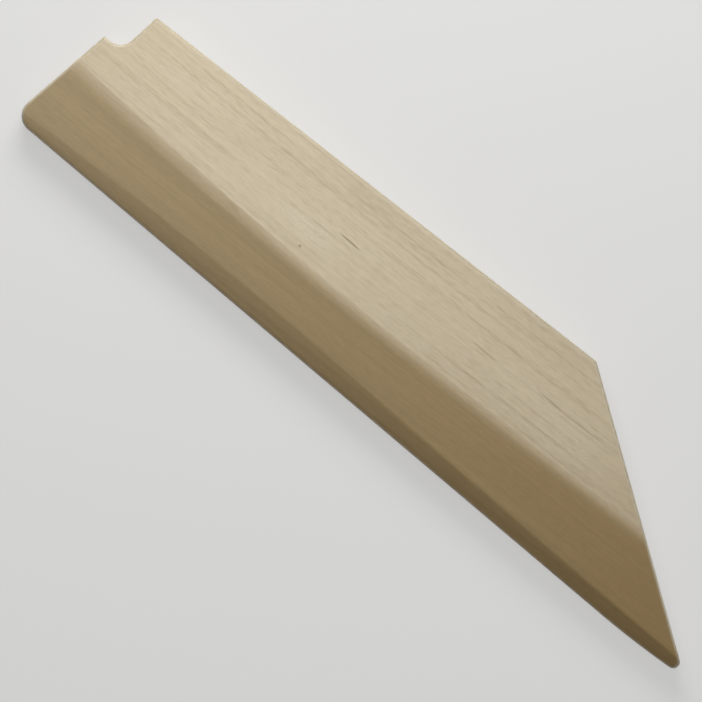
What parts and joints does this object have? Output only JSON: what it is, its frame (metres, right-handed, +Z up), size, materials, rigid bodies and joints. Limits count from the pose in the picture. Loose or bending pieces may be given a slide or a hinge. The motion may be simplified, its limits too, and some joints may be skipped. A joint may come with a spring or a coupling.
{
  "type": "knife blade guard",
  "caption": "Bare-wood sheath for a sword-tip kitchen knife: two glued carved halves with a blade pocket, soft ridge, bevelled edge side, slanted tip and a neck notch at the mouth.",
  "frame": {"origin": "under the middle of the object's box, on the surface its back face lies on", "axes": "+X from the mouth to the tip along the straight spine side, +Y towards the spine side, +Z up through the thickness towards the face that the picture shows"},
  "size_m": [0.2868, 0.0658, 0.016],
  "materials": {
    "bare_wood": "fine sanded, uncoated"
  },
  "bodies": {
    "root": {"front_half": "bare_wood", "back_half": "bare_wood"}
  },
  "joints": []
}
